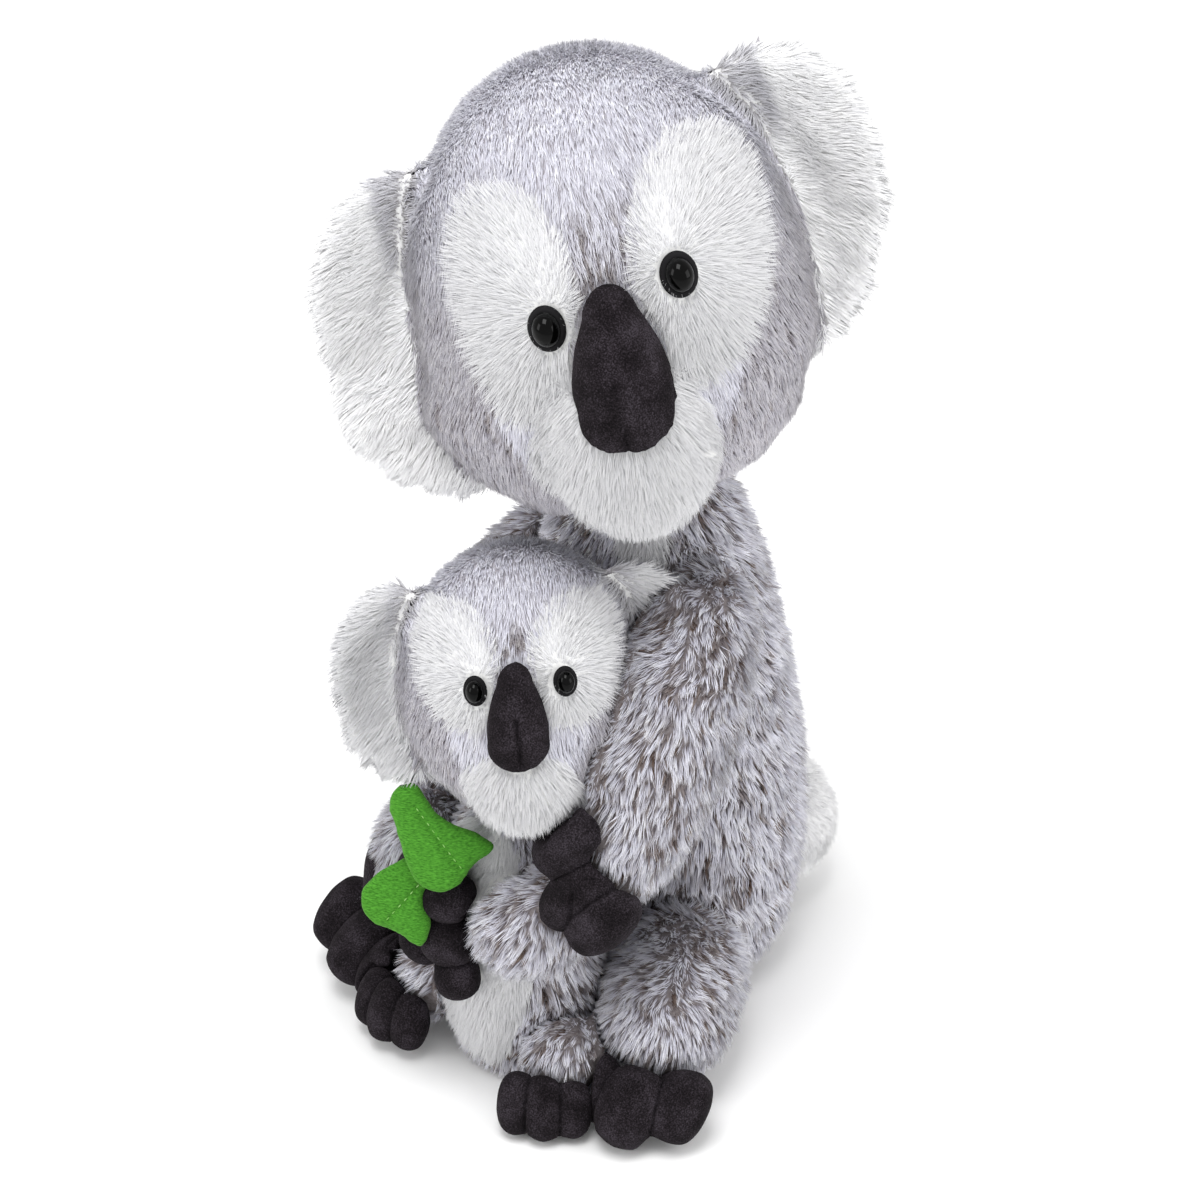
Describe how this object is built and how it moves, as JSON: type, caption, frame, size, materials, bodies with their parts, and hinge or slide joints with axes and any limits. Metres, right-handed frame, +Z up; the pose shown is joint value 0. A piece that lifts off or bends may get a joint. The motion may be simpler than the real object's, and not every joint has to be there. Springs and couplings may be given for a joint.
{
  "type": "plush koala",
  "caption": "Seated stuffed koala in tipped grey plush with suede paws and nose, holding a joey that holds a cloth leaf; head turns and limbs open.",
  "frame": {"origin": "on the floor under the flat of the mother's seat", "axes": "+Z up, -Y the way the mother's body faces, +X her left"},
  "size_m": [0.1541, 0.187, 0.3154],
  "materials": {
    "grey_plush": "long-pile tipped plush",
    "white_plush": "long-pile plush",
    "suede": "charcoal faux suede",
    "leaf_plush": "short-pile plush",
    "eye_plastic": "polished",
    "washer_nylon": "moulded",
    "bag_cloth": "plain calico"
  },
  "bodies": {
    "torso": {"mother_chest_bib": "white_plush", "mother_body": "grey_plush", "mother_seat_bag": "bag_cloth", "mother_tail": "white_plush", "baby_left_eye_patch": "white_plush", "baby_left_eye": "eye_plastic", "baby_left_eye_washer": "washer_nylon", "baby_left_ear_lining": "white_plush", "baby_left_ear_back": "grey_plush", "baby_right_eye_patch": "white_plush", "baby_right_eye": "eye_plastic", "baby_right_eye_washer": "washer_nylon", "baby_right_ear_lining": "white_plush", "baby_right_ear_back": "grey_plush", "baby_head": "grey_plush", "baby_muzzle": "white_plush", "baby_nose": "suede", "baby_belly": "white_plush", "baby_body": "grey_plush", "baby_left_arm": "grey_plush", "baby_left_hand": "suede", "baby_left_leg": "grey_plush", "baby_left_foot": "suede", "baby_right_arm": "grey_plush", "baby_right_hand": "suede", "baby_right_leg": "grey_plush", "baby_right_foot": "suede", "leaf_upper": "leaf_plush", "leaf_lower": "leaf_plush"},
    "head": {"mother_left_eye_patch": "white_plush", "mother_left_eye": "eye_plastic", "mother_left_eye_washer": "washer_nylon", "mother_left_ear_lining": "white_plush", "mother_left_ear_back": "grey_plush", "mother_right_eye_patch": "white_plush", "mother_right_eye": "eye_plastic", "mother_right_eye_washer": "washer_nylon", "mother_right_ear_lining": "white_plush", "mother_right_ear_back": "grey_plush", "mother_head": "grey_plush", "mother_muzzle": "white_plush", "mother_nose": "suede"},
    "left_arm": {"mother_left_arm": "grey_plush", "mother_left_hand": "suede"},
    "left_leg": {"mother_left_leg": "grey_plush", "mother_left_foot": "suede"},
    "right_arm": {"mother_right_arm": "grey_plush", "mother_right_hand": "suede"},
    "right_leg": {"mother_right_leg": "grey_plush", "mother_right_foot": "suede"}
  },
  "joints": [
    {"name": "head_turn", "type": "hinge", "parent": "torso", "child": "head", "pos_m": [0, -0.016, 0.19], "axis": [0, 0, 1], "range_deg": [-10, 10]},
    {"name": "left_arm_open", "type": "hinge", "parent": "torso", "child": "left_arm", "pos_m": [0.03784, 0.0179, 0.15], "axis": [0, 0, 1], "range_deg": [0, 20]},
    {"name": "right_arm_open", "type": "hinge", "parent": "torso", "child": "right_arm", "pos_m": [-0.03397, 0.02999, 0.15], "axis": [0, 0, -1], "range_deg": [0, 20]},
    {"name": "left_leg_open", "type": "hinge", "parent": "torso", "child": "left_leg", "pos_m": [0.044, 0.018, 0.02], "axis": [0, 0, 1], "range_deg": [0, 15]},
    {"name": "right_leg_open", "type": "hinge", "parent": "torso", "child": "right_leg", "pos_m": [-0.044, 0.018, 0.02], "axis": [0, 0, -1], "range_deg": [0, 15]}
  ]
}
